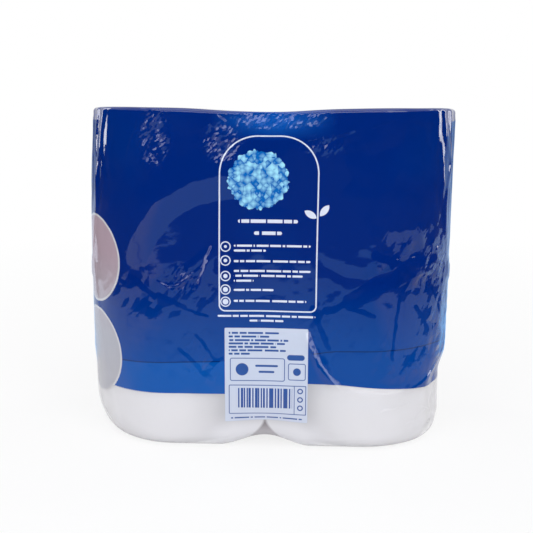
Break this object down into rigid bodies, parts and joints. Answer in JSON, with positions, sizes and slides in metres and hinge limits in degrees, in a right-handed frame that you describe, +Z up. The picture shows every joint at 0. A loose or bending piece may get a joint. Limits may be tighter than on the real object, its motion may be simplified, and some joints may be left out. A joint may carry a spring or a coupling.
{
  "type": "toilet paper roll pack",
  "caption": "Film-wrapped pack of upright toilet rolls, two wide and two high, for storage or display",
  "frame": {"origin": "middle of the base, on the surface that the pack stands on", "axes": "+Z up, +X along the pack's long side to the right as pictured, -Y towards the camera"},
  "size_m": [0.2172, 0.1098, 0.1914],
  "materials": {
    "film": "thin glossy printed film, blue with a clear band round the base",
    "paper": "soft matt white tissue paper",
    "card": "grey-brown wound cardboard"
  },
  "bodies": {
    "root": {"film_wrapper": "film", "roll_lower_left": "paper", "roll_lower_right": "paper", "roll_upper_left": "paper", "roll_upper_right": "paper", "core_lower_left": "card", "core_lower_right": "card", "core_upper_left": "card", "core_upper_right": "card"}
  },
  "joints": []
}
